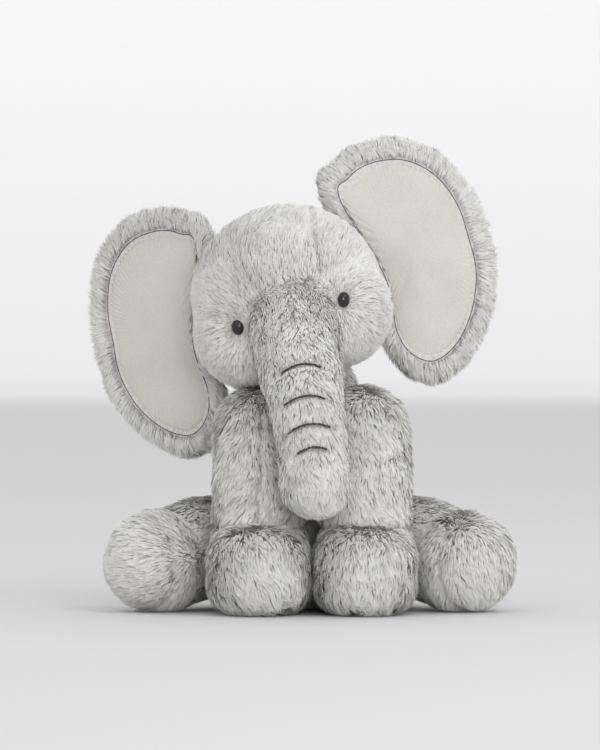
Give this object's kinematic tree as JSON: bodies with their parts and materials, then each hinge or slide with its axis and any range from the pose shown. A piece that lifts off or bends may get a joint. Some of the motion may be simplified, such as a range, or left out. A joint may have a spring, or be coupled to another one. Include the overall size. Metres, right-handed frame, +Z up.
{
  "type": "stuffed elephant",
  "caption": "Sitting plush elephant with large suede-lined ears, a hanging creased trunk, a tilted head and splayed hind legs.",
  "frame": {"origin": "on the surface that the toy sits on, under the middle of its bounding box", "axes": "+Z up; -Y the way the face looks; +X the elephant's own left side"},
  "size_m": [0.3036, 0.238, 0.3283],
  "materials": {
    "pile_fur": "soft long pile",
    "suede": "fine brushed suede cloth",
    "stuffing": "loose polyester fibre",
    "wadding": "thin polyester wadding",
    "pouch_cloth": "plain woven cotton",
    "beans": "plastic pellets",
    "label": "satin ribbon, blank",
    "neck_thread": "heavy sewing thread",
    "crease_thread": "heavy twisted thread",
    "eye_black": "polished",
    "washer": "moulded"
  },
  "bodies": {
    "torso": {"belly_panel": "pile_fur", "back_panel_left": "pile_fur", "back_panel_right": "pile_fur", "seat_panel": "pile_fur", "torso_stuffing": "stuffing", "bean_pouch": "pouch_cloth", "bean_filling": "beans", "care_label": "label"},
    "neck": {"neck_stuffing": "stuffing"},
    "neck_seam": {"neck_thread": "neck_thread"},
    "head": {"head_gusset": "pile_fur", "chin_panel": "pile_fur", "head_side_left": "pile_fur", "head_side_right": "pile_fur", "head_stuffing": "stuffing", "eye_left": "eye_black", "eye_right": "eye_black", "eye_washer_left": "washer", "eye_washer_right": "washer"},
    "trunk": {"trunk_top_panel": "pile_fur", "trunk_under_panel": "pile_fur", "trunk_stuffing": "stuffing", "crease_stitch_1": "crease_thread", "crease_stitch_2": "crease_thread", "crease_stitch_3": "crease_thread", "crease_stitch_4": "crease_thread"},
    "tail": {"tail_cover": "pile_fur", "tail_tuft": "pile_fur"},
    "ear_left": {"ear_back_left": "pile_fur", "ear_suede_left": "suede", "ear_wadding_left": "wadding"},
    "front_leg_left": {"front_left_cover": "pile_fur", "front_left_foot_cover": "pile_fur", "front_left_sole": "pile_fur", "front_left_stuffing": "stuffing"},
    "hind_leg_left": {"hind_left_cover": "pile_fur", "hind_left_foot_cover": "pile_fur", "hind_left_sole": "pile_fur", "hind_left_stuffing": "stuffing"},
    "ear_right": {"ear_back_right": "pile_fur", "ear_suede_right": "suede", "ear_wadding_right": "wadding"},
    "front_leg_right": {"front_right_cover": "pile_fur", "front_right_foot_cover": "pile_fur", "front_right_sole": "pile_fur", "front_right_stuffing": "stuffing"},
    "hind_leg_right": {"hind_right_cover": "pile_fur", "hind_right_foot_cover": "pile_fur", "hind_right_sole": "pile_fur", "hind_right_stuffing": "stuffing"}
  },
  "joints": [
    {"name": "head_turn", "type": "hinge", "parent": "torso", "child": "neck", "pos_m": [0.00365, 0.021, 0.16], "axis": [0, 0, 1], "range_deg": [-7, 10], "stiffness_Nm_per_rad": 1},
    {"name": "head_nod", "type": "hinge", "parent": "neck", "child": "neck_seam", "pos_m": [0.00365, 0.021, 0.16], "axis": [1, 0, 0], "range_deg": [-10, 2], "stiffness_Nm_per_rad": 1.5},
    {"name": "head_tilt", "type": "hinge", "parent": "neck_seam", "child": "head", "pos_m": [0.00365, 0.021, 0.16], "axis": [0, 1, 0], "range_deg": [-3, 17], "stiffness_Nm_per_rad": 1.2},
    {"name": "trunk_lift", "type": "hinge", "parent": "head", "child": "trunk", "pos_m": [-0.00135, -0.051, 0.184], "axis": [-1, 0, 0], "range_deg": [0, 45], "stiffness_Nm_per_rad": 0.3},
    {"name": "ear_left_flap", "type": "hinge", "parent": "head", "child": "ear_left", "pos_m": [0.04392, 0.031, 0.24761], "axis": [-0.4602, 0, 0.8878], "range_deg": [-20, 6], "stiffness_Nm_per_rad": 0.15},
    {"name": "ear_right_flap", "type": "hinge", "parent": "head", "child": "ear_right", "pos_m": [-0.06933, 0.031, 0.21853], "axis": [0.0244, 0, -0.9997], "range_deg": [-20, 6], "stiffness_Nm_per_rad": 0.15},
    {"name": "front_leg_left_swing", "type": "hinge", "parent": "torso", "child": "front_leg_left", "pos_m": [0.04466, -0.027, 0.126], "axis": [-0.7071, -0.7071, 0], "range_deg": [0, 20], "stiffness_Nm_per_rad": 0.5},
    {"name": "front_leg_right_swing", "type": "hinge", "parent": "torso", "child": "front_leg_right", "pos_m": [-0.02834, -0.027, 0.126], "axis": [-0.7071, 0.7071, 0], "range_deg": [0, 20], "stiffness_Nm_per_rad": 0.5},
    {"name": "hind_leg_left_swing", "type": "hinge", "parent": "torso", "child": "hind_leg_left", "pos_m": [0.05015, 0.045, 0.044], "axis": [0, 0, 1], "range_deg": [0, 30], "stiffness_Nm_per_rad": 0.5},
    {"name": "hind_leg_right_swing", "type": "hinge", "parent": "torso", "child": "hind_leg_right", "pos_m": [-0.03385, 0.045, 0.044], "axis": [0, 0, -1], "range_deg": [0, 30], "stiffness_Nm_per_rad": 0.5},
    {"name": "tail_lift", "type": "hinge", "parent": "torso", "child": "tail", "pos_m": [0.00816, 0.1076, 0.05], "axis": [1, 0, 0], "range_deg": [0, 60], "stiffness_Nm_per_rad": 0.03}
  ]
}
